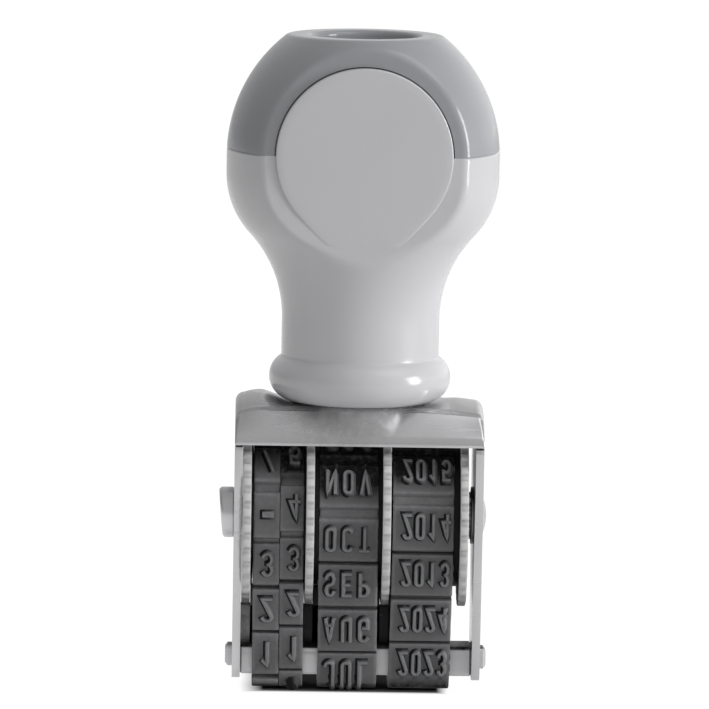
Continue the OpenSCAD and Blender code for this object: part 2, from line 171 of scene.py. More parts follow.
def turn_about_z(profile, steps):
    """A surface of revolution about Z: each outline point (radius, height) runs round a circle."""
    a = full_turn(steps)
    r, z = profile[:, :1], profile[:, 1:]
    return np.stack([r * np.sin(a), -r * np.cos(a), z + 0 * a], -1)


def about_axle(x, r, a):
    """Points at x along the axle, at radius r and angle a round it."""
    return np.stack(np.broadcast_arrays(x, r * np.cos(a), AXLE_Z + r * np.sin(a)), -1)


def turn_about_axle(profile, steps):
    """A surface of revolution about the axle: each outline point (x, radius) runs round a circle."""
    return about_axle(profile[:, :1], profile[:, 1:], full_turn(steps))


def capped(rows):
    """A grid with a row drawn in to a point added at both ends."""
    first, last = [np.repeat(row.mean(1, keepdims=True), rows.shape[1], 1) for row in (rows[:1], rows[-1:])]
    return np.concatenate([first, rows, last])


# Finishes

def plug(tree, value, socket):
    """Links a socket to an input, or gives the input a plain value. A colour gets its alpha."""
    if isinstance(value, bpy.types.NodeSocket):
        tree.links.new(value, socket)
    else:
        socket.default_value = (*value, 1.0) if socket.type == "RGBA" else value


def node(tree, kind, inputs=None, **settings):
    """A shader node with its settings. Its inputs, by name or number, take sockets or plain values."""
    made = tree.nodes.new("ShaderNode" + kind)
    for key, value in settings.items():
        setattr(made, key, value)
    for key, value in (inputs or {}).items():
        plug(tree, value, made.inputs[key])
    return made


def maths(tree, operation, *values, clamp=False):
    """A Math node on sockets or numbers."""
    return node(tree, "Math", dict(enumerate(values)), operation=operation, use_clamp=clamp).outputs[0]


def stretch(tree, value, low, high, out_low=0.0, out_high=1.0):
    """Maps a socket's range to another, clamped."""
    ends = {"Value": value, "From Min": low, "From Max": high, "To Min": out_low, "To Max": out_high}
    return node(tree, "MapRange", ends).outputs["Result"]


def noise(tree, vector, scale, detail=3.0, rough=0.55):
    """A noise texture on a vector socket."""
    inputs = {"Vector": vector, "Scale": scale, "Detail": detail, "Roughness": rough}
    return node(tree, "TexNoise", inputs).outputs["Fac"]


def new_group(name, inputs, outputs):
    """An empty shader group: a vector, further inputs with their starting values, and numbers as outputs."""
    group = bpy.data.node_groups.new(name, "ShaderNodeTree")
    for socket, start in {"Vector": (0.0, 0.0, 0.0), **inputs}.items():
        kind = "NodeSocketFloat" if isinstance(start, float) else "NodeSocketVector"
        group.interface.new_socket(socket, in_out="INPUT", socket_type=kind).default_value = start
    for socket in outputs:
        group.interface.new_socket(socket, in_out="OUTPUT", socket_type="NodeSocketFloat")
    return group, group.nodes.new("NodeGroupInput").outputs, group.nodes.new("NodeGroupOutput").inputs


def grain_group():
    """Fine unevenness of a surface: two noises, one at the grain's scale and one eight times coarser."""
    group, given, out = new_group("grain", {"Scale": 2000.0}, ["Height", "Tone"])
    fine = noise(group, given["Vector"], given["Scale"], 4.0)
    coarse = noise(group, given["Vector"], maths(group, "DIVIDE", given["Scale"], 8.0), 2.0)
    half = maths(group, "MULTIPLY", coarse, 0.5)
    plug(group, maths(group, "MULTIPLY_ADD", fine, 0.5, half), out["Height"])
    plug(group, stretch(group, coarse, 0.3, 0.7), out["Tone"])
    return group


def scratch_group():
    """Fine straight marks: noise on a vector pressed together along the marks, kept only where it is high."""
    group, given, out = new_group("scratches", {"Across": (1.0, 1.0, 1.0), "Scale": 1500.0}, ["Mask", "Height"])
    pressed = node(group, "VectorMath", {0: given["Vector"], 1: given["Across"]}, operation="MULTIPLY")
    lines = noise(group, pressed.outputs[0], given["Scale"], rough=0.7)
    plug(group, stretch(group, lines, 0.58, 0.72), out["Mask"])
    plug(group, lines, out["Height"])
    return group


def wear_group():
    """Rubbed or stained places, and painted shade and painted light: the piece's own mark, broken up by a noise."""
    group, given, out = new_group("wear_and_shade", {"Mark": 0.0, "Scale": 900.0}, ["Mask"])
    broken = stretch(group, noise(group, given["Vector"], given["Scale"]), 0.25, 0.65, 0.45)
    plug(group, maths(group, "MULTIPLY", given["Mark"], broken, clamp=True), out["Mask"])
    return group


def dust_group():
    """Settled dust: a noise kept where the surface looks up."""
    group, given, out = new_group("dust", {"Normal": (0.0, 0.0, 0.0), "Scale": 400.0}, ["Mask"])
    up = stretch(group, node(group, "SeparateXYZ", {0: given["Normal"]}).outputs["Z"], 0.2, 0.95)
    specks = stretch(group, noise(group, given["Vector"], given["Scale"], 5.0, 0.7), 0.45, 0.75)
    plug(group, maths(group, "MULTIPLY", up, specks, clamp=True), out["Mask"])
    return group


GRAIN, SCRATCHES, WEAR_AND_SHADE, DUST = grain_group(), scratch_group(), wear_group(), dust_group()
# The black of ink; marks also use it for painted shade.
INK_AND_SHADE = (0.02, 0.02, 0.022)
SHEEN, DARK_SHEEN = 0.5, 0.05


class Finish:
    """A slot's material: a Principled shader, Object coordinates, and the shared groups as needed."""

    def __init__(self, slot, **values):
        self.slot = slot
        self.material = bpy.data.materials.new(slot)
        self.material.use_nodes = True
        self.tree = self.material.node_tree
        self.shader = self.tree.nodes["Principled BSDF"]
        self.place = node(self.tree, "TexCoord").outputs["Object"]
        self.relief = None
        for socket, value in values.items():
            self.feed(socket, value)

    def feed(self, socket, value):
        plug(self.tree, value, self.shader.inputs[socket])

    def group(self, shared, **values):
        """Places a shared group, fed with Object coordinates and its own values."""
        return node(self.tree, "Group", {"Vector": self.place, **values}, node_tree=shared).outputs

    def mix(self, factor, a, b):
        """A colour between two by a mask."""
        return node(self.tree, "Mix", {"Factor": factor, "A": a, "B": b}, data_type="RGBA").outputs["Result"]

    def marked(self, scale, sign=1.0):
        """A mask from the piece's own mark, or from its negative."""
        mark = node(self.tree, "Attribute", attribute_name="mark").outputs["Fac"]
        return self.group(WEAR_AND_SHADE, Mark=maths(self.tree, "MULTIPLY", mark, sign), Scale=scale)["Mask"]

    def inked(self, clean, scale, sign=1.0):
        """Colours the surface black where it is marked, with ink and with painted shade, and gives that mask."""
        darkening = self.marked(scale, sign)
        self.feed("Base Color", self.mix(darkening, clean, INK_AND_SHADE))
        return darkening

    def dusted(self, clean, scale, share, dust):
        """A colour under dust, which lies where the surface looks up."""
        normal = node(self.tree, "NewGeometry").outputs["Normal"]
        mask = self.group(DUST, Normal=normal, Scale=scale)["Mask"]
        return self.mix(maths(self.tree, "MULTIPLY", mask, share), clean, dust)

    def without_sheen(self, darkening):
        """Takes the sheen off where ink and painted shade are."""
        self.feed("Specular IOR Level", stretch(self.tree, darkening, 0.0, 1.0, SHEEN, DARK_SHEEN))

    def dulled(self, rough, scuffs, share, tone, haze):
        """Roughness to which scuffs and cloudy tones add their shares."""
        scuffed = maths(self.tree, "MULTIPLY_ADD", scuffs, share, rough)
        self.feed("Roughness", maths(self.tree, "ADD", scuffed, maths(self.tree, "MULTIPLY", tone, haze)))

    def bump(self, height, strength, depth_mm):
        """A bump of that depth, laid over what bump there already is."""
        inputs = {"Strength": strength, "Distance": depth_mm * MM, "Height": height}
        if self.relief is not None:
            inputs["Normal"] = self.relief
        self.relief = node(self.tree, "Bump", inputs).outputs["Normal"]
        self.feed("Normal", self.relief)


def moulded_plastic(slot, colour, shade, rough, dusty, inked=False):
    """Moulded plastic: slight flow tones, a faint orange peel, scuffs that dim the gloss, and dust on top. Ink and
    painted shade darken it where the piece is marked."""
    made = Finish(slot, IOR=1.5)
    grain = made.group(GRAIN, Scale=1400.0)
    flow = made.group(GRAIN, Scale=260.0)
    scuffs = made.group(SCRATCHES, Across=(1.0, 1.0, 0.12), Scale=420.0)
    pale = made.dusted(made.mix(flow["Tone"], colour, shade), 900.0, dusty, (0.6, 0.6, 0.58))
    if inked:
        made.without_sheen(made.inked(pale, 1500.0))
    else:
        made.feed("Base Color", pale)
    made.dulled(rough, scuffs["Mask"], dusty / 2, grain["Tone"], 0.05)
    made.bump(grain["Height"], 0.35, 0.012)
    made.bump(scuffs["Height"], dusty / 2, 0.004)
    return made


def worked_metal(slot, colour, shade, rough, across, marks, inked=False):
    """Plated or drawn metal: cloudy tones, drawing marks along one way, and pits in the gloss. Painted shade
    darkens it where the piece is marked."""
    made = Finish(slot, Metallic=1.0)
    cloud = made.group(GRAIN, Scale=700.0)
    lines = made.group(SCRATCHES, Across=across, Scale=900.0)
    clean = made.mix(cloud["Tone"], colour, shade)
    if inked:
        made.feed("Metallic", maths(made.tree, "SUBTRACT", 1.0, made.inked(clean, 900.0)))
    else:
        made.feed("Base Color", clean)
    made.dulled(rough, lines["Mask"], marks, cloud["Tone"], 0.08)
    made.bump(lines["Height"], 0.35, 0.012)
    made.bump(cloud["Height"], 0.3, 0.02)
    return made


def rubber(slot):
    """Moulded rubber: matt and dark, chalky at rubbed edges, black with ink at the type's foot, finely grained.
    Its marks also paint shade black and paint light chalky.
    """
    made = Finish(slot, IOR=1.5)
    grain = made.group(GRAIN, Scale=3200.0)
    blotch = made.group(GRAIN, Scale=500.0)
    ground = made.mix(blotch["Tone"], (0.107, 0.108, 0.111), (0.138, 0.139, 0.143))
    # Chalky where rubbed, and where light is painted on.
    worn_and_lit = made.mix(made.marked(1500.0), ground, (0.31, 0.31, 0.32))
    dusty = made.dusted(worn_and_lit, 1500.0, 0.25, (0.3, 0.3, 0.3))
    # Black with ink, and with painted shade.
    made.without_sheen(made.inked(dusty, 1500.0, -1.0))
    made.feed("Roughness", stretch(made.tree, grain["Tone"], 0.0, 1.0, 0.5, 0.72))
    made.bump(grain["Height"], 0.4, 0.02)
    return made


BODY = moulded_plastic("body_plastic", (0.60, 0.60, 0.615), (0.57, 0.57, 0.585), 0.13, 0.12)
CAP = moulded_plastic("cap_plastic", (0.335, 0.34, 0.355), (0.32, 0.325, 0.34), 0.16, 0.03)
WHEEL = moulded_plastic("wheel_plastic", (0.7, 0.7, 0.695), (0.63, 0.63, 0.625), 0.42, 0.15, inked=True)
STEEL = worked_metal("plated_steel", (0.66, 0.66, 0.67), (0.57, 0.57, 0.58), 0.2, (0.08, 1.0, 1.0), 0.2, True)
AXLE = worked_metal("axle_steel", (0.69, 0.69, 0.7), (0.6, 0.6, 0.61), 0.3, (1.0, 0.2, 0.2), 0.15)
WASHER = worked_metal("washer_steel", (0.5, 0.5, 0.51), (0.4, 0.4, 0.41), 0.36, (1.0, 1.0, 0.3), 0.15)
PLATEN = worked_metal("platen_metal", (0.68, 0.68, 0.69), (0.6, 0.6, 0.61), 0.42, (0.06, 1.0, 1.0), 0.12, True)
RUBBER = rubber("band_rubber")


# Handle

COLLAR_R, COLLAR_H = 11.8, 6.2
NECK_R, NECK_H = 10.25, 10.7
BULB_DROP, BELT_H, BULB_LOW_R = 15.7, 2.4, 11.4
DISH_R, DISH_H, RIM_W, RIM_EDGE, RIM_OUT = 7.0, 4.6, 3.0, 0.7, 1.1
FACE_R, TIP_DROP, TIP_R = 11.4, 13.9, 2.0
FACE_Y = FLAT_Y + 0.5
FACE_C = np.array([0, SEAM_Z - 2.5])
FACE_IN, FACE_GAP, SINK_DROP, SINK_RUN = 1.6, 0.15, 12.2, 3.7
FLAT_LEAN, FLAT_SOFT = math.tan(math.radians(2.5)), 0.7
CREASE_R = 0.45
SEAM_EDGE = 0.16
BULB_Z = HANDLE_TOP - BULB_DROP
bulb_in = BULB_R - DISH_R - RIM_W
BULB_TOP_R = (bulb_in ** 2 + BULB_DROP ** 2) / (2 * bulb_in)
TOP_C = (BULB_R - BULB_TOP_R, BULB_Z)


def top_angle(z, inset=0.0):
    """Angle, in degrees, at which the bulb's upper arc stands at height z."""
    return math.degrees(math.asin((z - BULB_Z) / (BULB_TOP_R - inset)))


def pressed_flat(profile, steps=360):
    """The turned outline with its front and back pressed flat: depth is the softened lesser of round and flat. The
    flats lean in towards the top."""
    pts = turn_about_z(profile, steps)
    y = pts[..., 1]
    flat = FLAT_Y + (SEAM_Z - pts[..., 2]) * FLAT_LEAN
    pts[..., 1] = np.sign(y) * soft_min(np.abs(y), flat, FLAT_SOFT)
    return pts


def body_outline():
    """Foot, collar roll, a small hollow crease, the neck, a hollow flare, the lower bulb, its belt and the seam."""
    roll = COLLAR_H / 2
    roll_c = np.array([COLLAR_R - roll, FRAME_TOP + roll])
    crease_x = NECK_R + CREASE_R
    crease_up = math.sqrt((roll + CREASE_R) ** 2 - (crease_x - roll_c[0]) ** 2)
    crease_c = (crease_x, roll_c[1] + crease_up)
    roll_end = math.degrees(math.atan2(crease_up, crease_x - roll_c[0]))
    neck_z = FRAME_TOP + NECK_H
    low_c = np.array([BULB_R - BULB_LOW_R, BULB_Z - BELT_H])
    a, b = NECK_R - low_c[0], low_c[1] - neck_z
    flare_r = (a * a + b * b - BULB_LOW_R ** 2) / (2 * (BULB_LOW_R - a))
    flare_c = np.array([NECK_R + flare_r, neck_z])
    flare_end = math.degrees(math.atan2(low_c[1] - flare_c[1], low_c[0] - flare_c[0]))
    seam = arc(TOP_C, BULB_TOP_R, 0, top_angle(SEAM_Z - SEAM_EDGE), 4)
    return np.concatenate([
        [[0, FRAME_TOP], [6.0, FRAME_TOP]], arc(roll_c, roll, -90, roll_end, 30),
        arc(crease_c, CREASE_R, roll_end + 180, 180, 6)[1:],
        np.stack([np.full(6, NECK_R), np.linspace(crease_c[1], neck_z, 8)[1:-1]], -1),
        arc(flare_c, flare_r, 180, flare_end, 44), arc(low_c, BULB_LOW_R, flare_end - 180, 0, 44)[1:],
        [[BULB_R, BULB_Z - BELT_H * 2 / 3], [BULB_R, BULB_Z - BELT_H / 3]],
        seam, [[seam[-1, 0] - SEAM_EDGE, SEAM_Z], [0, SEAM_Z]]])


def cap_outline():
    """The seam's edge, the bulb's upper arc, the rim's two rounded edges, the dish's wall, corner and floor."""
    edge_z, out_z = HANDLE_TOP - RIM_EDGE, HANDLE_TOP - RIM_OUT
    out_a = top_angle(out_z, RIM_OUT)
    out_x = TOP_C[0] + math.sqrt((BULB_TOP_R - RIM_OUT) ** 2 - (out_z - BULB_Z) ** 2)
    dish_z = HANDLE_TOP - DISH_H
    corner = 2 * RIM_EDGE
    up = arc(TOP_C, BULB_TOP_R, top_angle(SEAM_Z + SEAM_EDGE), out_a, 60)
    return np.concatenate([
        [[0, SEAM_Z], [up[0, 0] - SEAM_EDGE, SEAM_Z]], up, arc((out_x, out_z), RIM_OUT, out_a, 90, 10)[1:],
        arc((DISH_R + RIM_EDGE, edge_z), RIM_EDGE, 90, 180, 8),
        arc((DISH_R - corner, dish_z + corner), corner, 0, -90, 10), [[3.0, dish_z], [0, dish_z]]])


def face_ring(inset):
    """The face plate's outline moved in: a round above and a small tip below, joined by their outer tangents."""
    lean = math.degrees(math.asin((FACE_R - TIP_R) / TIP_DROP))
    ring = arc((0, SEAM_Z), FACE_R - inset, -lean, 180 + lean, 96)
    tip = arc((0, SEAM_Z - TIP_DROP), TIP_R - inset, 180 + lean, 360 - lean, 20)
    sides = [np.linspace(ring[-1], tip[0], 12)[1:-1], np.linspace(tip[-1], ring[0], 12)[1:-1]]
    return np.concatenate([ring, sides[0], tip, sides[1]])


def stand(ring, y):
    """An outline in width and height, stood up at depth y."""
    return np.stack(np.broadcast_arrays(ring[:, 0], y, ring[:, 1]), -1)


def face_plate(side):
    """A face plate: its outline rises as a wall, rounds over at the edge and closes over a barely domed face.
    Towards the tip it sinks into the body's flat."""
    edge = [(0.0, FACE_IN), (0.0, 0.24), (0.03, 0.12), (0.1, 0.03), (0.22, 0.0)]
    rings = [(face_ring(inset), FACE_Y - down) for inset, down in edge]
    rim = rings[-1][0]
    rings += [(FACE_C + (rim - FACE_C) * t, FACE_Y + 0.05 * (1 - t * t)) for t in np.linspace(0.92, 0, 10)]
    rings.insert(0, (np.tile(FACE_C, (len(rim), 1)), FACE_Y - FACE_IN))
    sunk = [FACE_IN * np.clip((SEAM_Z - SINK_DROP - ring[:, 1]) / SINK_RUN, 0, 1) for ring, _ in rings]
    return np.stack([stand(ring, side * (y - sink)) for (ring, y), sink in zip(rings, sunk)])


def face_cutter(side):
    """The face plate's outline grown by its gap, as a closed block through the cap's wall."""
    ring = face_ring(-FACE_GAP)
    closed = np.tile(FACE_C, (len(ring), 1))
    steps = [(closed, -2.6), (ring, -2.6), (ring, 4), (closed, 4)]
    return np.stack([stand(outline, side * (FACE_Y + out)) for outline, out in steps])


def cut_away(mesh, cutters):
    """The mesh less the cutters, worked out exactly."""
    target = link("cutting", mesh)
    blocks = [link(f"cutter_{k}", cutter) for k, cutter in enumerate(cutters)]
    for block in blocks:
        cut = target.modifiers.new("cut", "BOOLEAN")
        cut.operation, cut.solver, cut.object = "DIFFERENCE", "EXACT", block
    result = bpy.data.meshes.new_from_object(target.evaluated_get(bpy.context.evaluated_depsgraph_get()))
    for obj in [target, *blocks]:
        bpy.data.objects.remove(obj)
    result.shade_smooth()
    result.set_sharp_from_angle(angle=math.radians(28))
    return result


def make_handle():
    piece("handle_body_skin", [(pressed_flat(body_outline()), False, True)], BODY, nodes=["handle_body"])
    for name, side in (("face_plate_front", -1), ("face_plate_back", 1)):
        piece(name, [(face_plate(side), False, True)], BODY, sharp=50)
    cap = make_mesh("handle_cap_whole", [(pressed_flat(cap_outline()), False, True)])
    cutters = [make_mesh("face_cutter", [(face_cutter(side), False, True)]) for side in (-1, 1)]
    put("handle_cap_skin", cut_away(cap, cutters), CAP, nodes=["handle_cap"])


# Frame

SHEET_T, BEND_R, ARM_Y = 1.05, 1.2, 6.0
SKIRT_DROP, LIP_R, CORNER_R = 4.9, 0.45, 0.3
SEAT_R, SEAT_STEEP = 8.5, 3.2
FOOT_HALF, FOOT_R = 5.75, 1.6
STEP_DROP, STEP_W, SKIRT_FALL = 0.7, 1.3, 3.45
LEFT_CROWN, LEFT_FALL, LEFT_X = 1.35, 1.2, 12
RIGHT_CROWN, RIGHT_FALL, RIGHT_X = 0.75, 0.9, 5
CROWN_X, CROWN_RUN = 8.8, 4.4
# The painted shade under the collar: middle, half width and strength, at the skirt's top and at its lip
SKIRT_SHADE = ((-1.0, -2.6), (9.5, 5.5), (0.85, 0.25))


def ease(t):
    """Rises from 0 to 1 with level ends."""
    t = np.clip(t, 0, 1)
    return t * t * (3 - 2 * t)


def arm_drop(y):
    """How far the arms' top has fallen at depth y: flat, a soft step, a slope and the roll into the lip."""
    out = np.abs(y)
    slope = SKIRT_FALL * np.clip((out - ARM_Y - STEP_W) / (SKIRT_Y - ARM_Y - STEP_W), 0, 1)
    roll = np.clip(out - (SKIRT_Y - LIP_R), 0, LIP_R)
    return STEP_DROP * ease((out - ARM_Y) / STEP_W) + slope + LIP_R - np.sqrt(LIP_R ** 2 - roll ** 2)


def top_drop(x, y):
    """How far the pressed top has fallen: the lesser of the arms' fall and of the round seat's steep cone, softly
    joined; both run into one lip. Clear of the seat the arms are crowned, and they fall towards the bends."""
    seat = (np.hypot(x, y) - SEAT_R) * SEAT_STEEP
    crown = np.where(x < 0, LEFT_CROWN, RIGHT_CROWN) * ease((np.abs(x) - CROWN_X) / CROWN_RUN)
    crown = crown * np.clip(1 - (y / ARM_Y) ** 2, 0, 1)
    left = LEFT_FALL * np.clip((-x - LEFT_X) / (FRAME_X - LEFT_X), 0, 1) ** 2
    right = RIGHT_FALL * np.clip((x - RIGHT_X) / (FRAME_X - RIGHT_X), 0, 1) ** 2
    arms = arm_drop(y) + (left + right) * (1 - ease((np.abs(y) - ARM_Y) / (SKIRT_Y - ARM_Y)))
    pressed = soft_max(soft_min(arms, seat, 2.0), 0 * seat, 0.7)
    return pressed + (arms - pressed) * ease((np.abs(y) - SKIRT_Y + 0.9) / 0.8) - crown


def plate_half(z):
    """Half a side plate's depth at height z: it narrows evenly to a foot with rounded corners."""
    lean = FOOT_HALF + (SKIRT_Y - FOOT_HALF) * (z - FOOT_Z) / (FRAME_TOP - SKIRT_DROP - FOOT_Z)
    corner = np.clip(FOOT_Z + FOOT_R - z, 0, FOOT_R)
    return np.minimum(lean, SKIRT_Y) - (FOOT_R - np.sqrt(FOOT_R ** 2 - corner ** 2))


def half_sheet(side):
    """Half of the frame's outer side as a grid. Each column stands at one depth from the front lip to the back one,
    and runs up a side plate, round the bend and over the pressed top to the middle."""
    lip = arm_drop(np.array([SKIRT_Y]))[0]
    y = np.concatenate([np.full(4, SKIRT_Y), SKIRT_Y - LIP_R * (1 - np.sin(np.linspace(np.pi / 2, 0, 10))),
                        np.linspace(SKIRT_Y - LIP_R, ARM_Y + STEP_W, 24)[1:],
                        np.linspace(ARM_Y + STEP_W, ARM_Y - 0.5, 20)[1:], np.linspace(ARM_Y - 0.5, 0, 14)[1:]])
    hang = np.concatenate([np.linspace(SKIRT_DROP, lip, 5)[:-1], np.full(len(y) - 4, -1.0)])
    y = np.concatenate([-y, y[-2::-1]])[None, :]
    hang = np.concatenate([hang, hang[-2::-1]])[None, :]
    bend = CORNER_R + (BEND_R - CORNER_R) * ease((SKIRT_Y - np.abs(y)) / (SKIRT_Y - ARM_Y))
    corner = FRAME_X - bend
    top = FRAME_TOP - np.maximum(top_drop(side * corner, y), hang) - bend
    t = np.concatenate([np.linspace(0, 0.05, 12), np.linspace(0.05, 1, 40)[1:]])[:, None]
    side_z = FOOT_Z + (top - FOOT_Z) * t
    joined = ease((t - 0.6) / 0.38)
    side_y = plate_half(side_z) * np.linspace(-1, 1, y.size) * (1 - joined) + y * joined
    a = np.linspace(0, np.pi / 2, 15)[1:, None]
    across = corner * np.linspace(1, 0, 72)[1:, None]
    x = np.concatenate([FRAME_X + 0 * side_z, corner + bend * np.cos(a), across])
    z = np.concatenate([side_z, top + bend * np.sin(a), FRAME_TOP - np.maximum(top_drop(side * across, y), hang)])
    y = np.concatenate([side_y, np.repeat(y, len(a) + len(across), 0)])
    return np.stack([side * x, y, z], -1)


def make_frame():
    """The sheet with its wall and its broken edges. Painted shade on the skirt, under the collar, narrows downwards.
    """
    sheet = np.concatenate([half_sheet(1), half_sheet(-1)[-2::-1]])
    x, y = sheet[..., 0], sheet[..., 1]
    down = np.clip((-y - ARM_Y) / (SKIRT_Y - ARM_Y), 0, 1)
    middle, half, strength = (top + (lip - top) * down for top, lip in SKIRT_SHADE)
    # Painted shade: the skirt is painted darker under the collar.
    painted_skirt_shade = strength * np.exp(-((x - middle) / half) ** 4) * ease((1 - y - ARM_Y) / 1.5)
    obj = piece("frame_sheet", [(sheet, False, False)], STEEL, nodes=["frame"], closed=False, marks=painted_skirt_shade.ravel())
    wall = obj.modifiers.new("wall", "SOLIDIFY")
    wall.thickness, wall.offset = SHEET_T * MM, -1
    edge = obj.modifiers.new("edge", "BEVEL")
    edge.width, edge.segments, edge.limit_method, edge.angle_limit = 0.14 * MM, 2, "ANGLE", math.radians(60)


# Thumbwheels

RIM_T, TOOTH_COUNT, TOOTH_H, BORE_R = 1.05, 36, 0.36, 2.06
FLANGE_R, FLANGE_GAP = 9.3, 0.03
# How dark the drum and its flanges are painted: painted shade deep inside the loops.
DRUM_SHADE = 2.5
# Round one tooth and its gap: the turn, the share of the tooth's height that is missing, and the dirt
TOOTH = np.array([(0.0, 0.15, 0.14), (0.06, 0.0, 0.0), (0.24, 0.0, 0.0), (0.42, 0.0, 0.0), (0.48, 0.15, 0.14),
                  (0.56, 0.85, 0.37), (0.62, 1.0, 0.3), (0.74, 1.0, 0.16), (0.86, 1.0, 0.3), (0.92, 0.85, 0.37)])


def wheel_grid(name):
    """A thumbwheel as a closed ring: its section runs round the rim and the drum and back through the bore.

    The rim's radius steps down to a flat gap after each tooth, and the drum's radius is that of an eight-sided bar
    between low flanges. The drum and its flanges are painted dark, as painted shade deep inside the band
    loops, and dirt in the gaps is marked."""
    low, high = span(f"{name}_wheel")
    band_low, band_high = span(f"{name}_band")
    turn, missing, dirt = TOOTH.T
    a = ((np.arange(TOOTH_COUNT)[:, None] + turn) * 2 * np.pi / TOOTH_COUNT).ravel()
    rim = WHEEL_R - np.tile(missing, TOOTH_COUNT) * TOOTH_H
    dirt = np.tile(dirt, TOOTH_COUNT)
    side = np.pi / 8
    drum = np.minimum(DRUM_R * np.cos(side) / np.cos((a + side) % (2 * side) - side), DRUM_R - 0.1)
    left = name == "tens"
    near, far = band_low[0] - low[0], band_high[0] - low[0]
    if not left:
        near, far = high[0] - band_high[0], high[0] - band_low[0]
    root, free = near - FLANGE_GAP, far + FLANGE_GAP
    lead, end, e = -0.06 if left else 0.0, high[0] - low[0] + 0.04, 0.14
    section = [(lead, BORE_R, 0), (lead, rim - 1.1, 0), (lead, rim - e, 0), (0.3 * e, rim - 0.3 * e, 0),
               (e, rim, dirt), (RIM_T - e, rim, dirt), (RIM_T - 0.3 * e, rim - 0.3 * e, 0), (RIM_T, rim - e, 0),
               (RIM_T, rim - 1.1, 0.2), (RIM_T, FLANGE_R + 0.3, DRUM_SHADE), (RIM_T, FLANGE_R, DRUM_SHADE),
               (root, FLANGE_R - 0.04, DRUM_SHADE), (root, drum, DRUM_SHADE)]
    if end - free > 0.2:
        section += [(free, drum, DRUM_SHADE), (free, FLANGE_R - 0.04, DRUM_SHADE), (end, FLANGE_R, DRUM_SHADE)]
    else:
        section += [(end - e, drum, DRUM_SHADE), (end, drum - e, DRUM_SHADE)]
    section.append((end, BORE_R, 0))
    x = np.array([s[0] for s in section])[:, None]
    r, marks = (np.stack([s[k] + 0 * a for s in section]) for k in (1, 2))
    return about_axle(low[0] + x if left else high[0] - x, r, a), marks.ravel()


def make_wheels():
    for name in ("tens", "units", "month", "year"):
        grid, marks = wheel_grid(name)
        piece(f"{name}_wheel_skin", [(grid, True, True)], WHEEL, f"{name}_thumbwheel", [f"{name}_wheel"],
              sharp=38, marks=marks)


# Bands

centres = math.hypot(EDGE_Y, AXLE_Z - EDGE_Z)
RUN_A = math.atan2(EDGE_Z - AXLE_Z, EDGE_Y) + math.acos((LOOP_R - EDGE_R) / centres)
EDGE_END = EDGE_Y + EDGE_R * (RUN_A + math.pi / 2)
RUN_END = EDGE_END + math.sqrt(centres ** 2 - (LOOP_R - EDGE_R) ** 2)
HALF_LOOP = RUN_END + LOOP_R * (math.pi / 2 - RUN_A)
LOOP_LEN = 2 * HALF_LOOP
PITCH = LOOP_LEN / PAD_COUNT
PAD_HALF = (PITCH - GROOVE_W) / 2
PAD_EDGE, PAD_FACE, FILLED_H = 0.16, 0.7, 0.55
SAG, SAG_RUN, PUSH_RUN = 0.5, 0.7, 16
# The last two: how softly and how darkly painted shade darkens the bands' tops under the skirt.
WET_Z, WET_RUN, WET_INK, SHADE_RUN, SHADE_DARK = 0.6, 0.5, 2.2, 3, 1.5


def loop_place(s):
    """Place and outward angle on a band's loop at distance s: flat under the platen, round its edge, straight up
    the run, and round the drum. The front run comes first; the back one mirrors it."""
    w = np.mod(s, LOOP_LEN)
    front = w < HALF_LOOP
    m = np.where(front, w, LOOP_LEN - w)
    bend = -np.pi / 2 + (m - EDGE_Y) / EDGE_R
    over = RUN_A + (m - RUN_END) / LOOP_R
    run = m - EDGE_END
    zones = [m < EDGE_Y, m < EDGE_END, m < RUN_END]
    y = np.select(zones, [m, EDGE_Y + EDGE_R * np.cos(bend),
                          EDGE_Y + EDGE_R * np.cos(RUN_A) - run * np.sin(RUN_A)], LOOP_R * np.cos(over))
    z = np.select(zones, [EDGE_Z - EDGE_R + 0 * m, EDGE_Z + EDGE_R * np.sin(bend),
                          EDGE_Z + EDGE_R * np.sin(RUN_A) + run * np.cos(RUN_A)], AXLE_Z + LOOP_R * np.sin(over))
    a = np.select(zones, [-np.pi / 2 + 0 * m, bend, RUN_A + 0 * m], over)
    return np.where(front, -y, y), z, np.where(front, np.pi - a, a)


def loop_out(s, d):
    """A point of the loop moved out by d, as depth and height."""
    y, z, a = loop_place(s)
    return np.stack([y + d * np.cos(a), z + d * np.sin(a)], -1)


def pad_place(s, v, h):
    """A point of the pad at s, v along it and h above the band: on the run and drum pads are flat blocks that
    stand on the curved band; round the platen's edge they bend with it."""
    bent = loop_out(s + v, BAND_T + h)
    w = s % LOOP_LEN
    if min(w, LOOP_LEN - w) - PAD_HALF < EDGE_END:
        return bent
    _, _, a = loop_place(np.array(s))
    flat = (loop_out(np.array(s), BAND_T) + np.multiply.outer(v, [np.sin(a), -np.cos(a)])
            + np.multiply.outer(h, [np.cos(a), np.sin(a)]))
    share = np.clip(h / PAD_H, 0, 1)[:, None]
    return (1 - share) * bent + share * flat


def settled(s):
    """Where the pad meant for s really sits: the stretched run lets its pads hang lower, and those under the platen
    are pushed together."""
    m = (s + HALF_LOOP) % LOOP_LEN - HALF_LOOP
    hung = ease((RUN_END - m) / (SAG_RUN * (RUN_END - EDGE_END)))
    return s - SAG * hung * ease((m + PUSH_RUN) / PUSH_RUN)


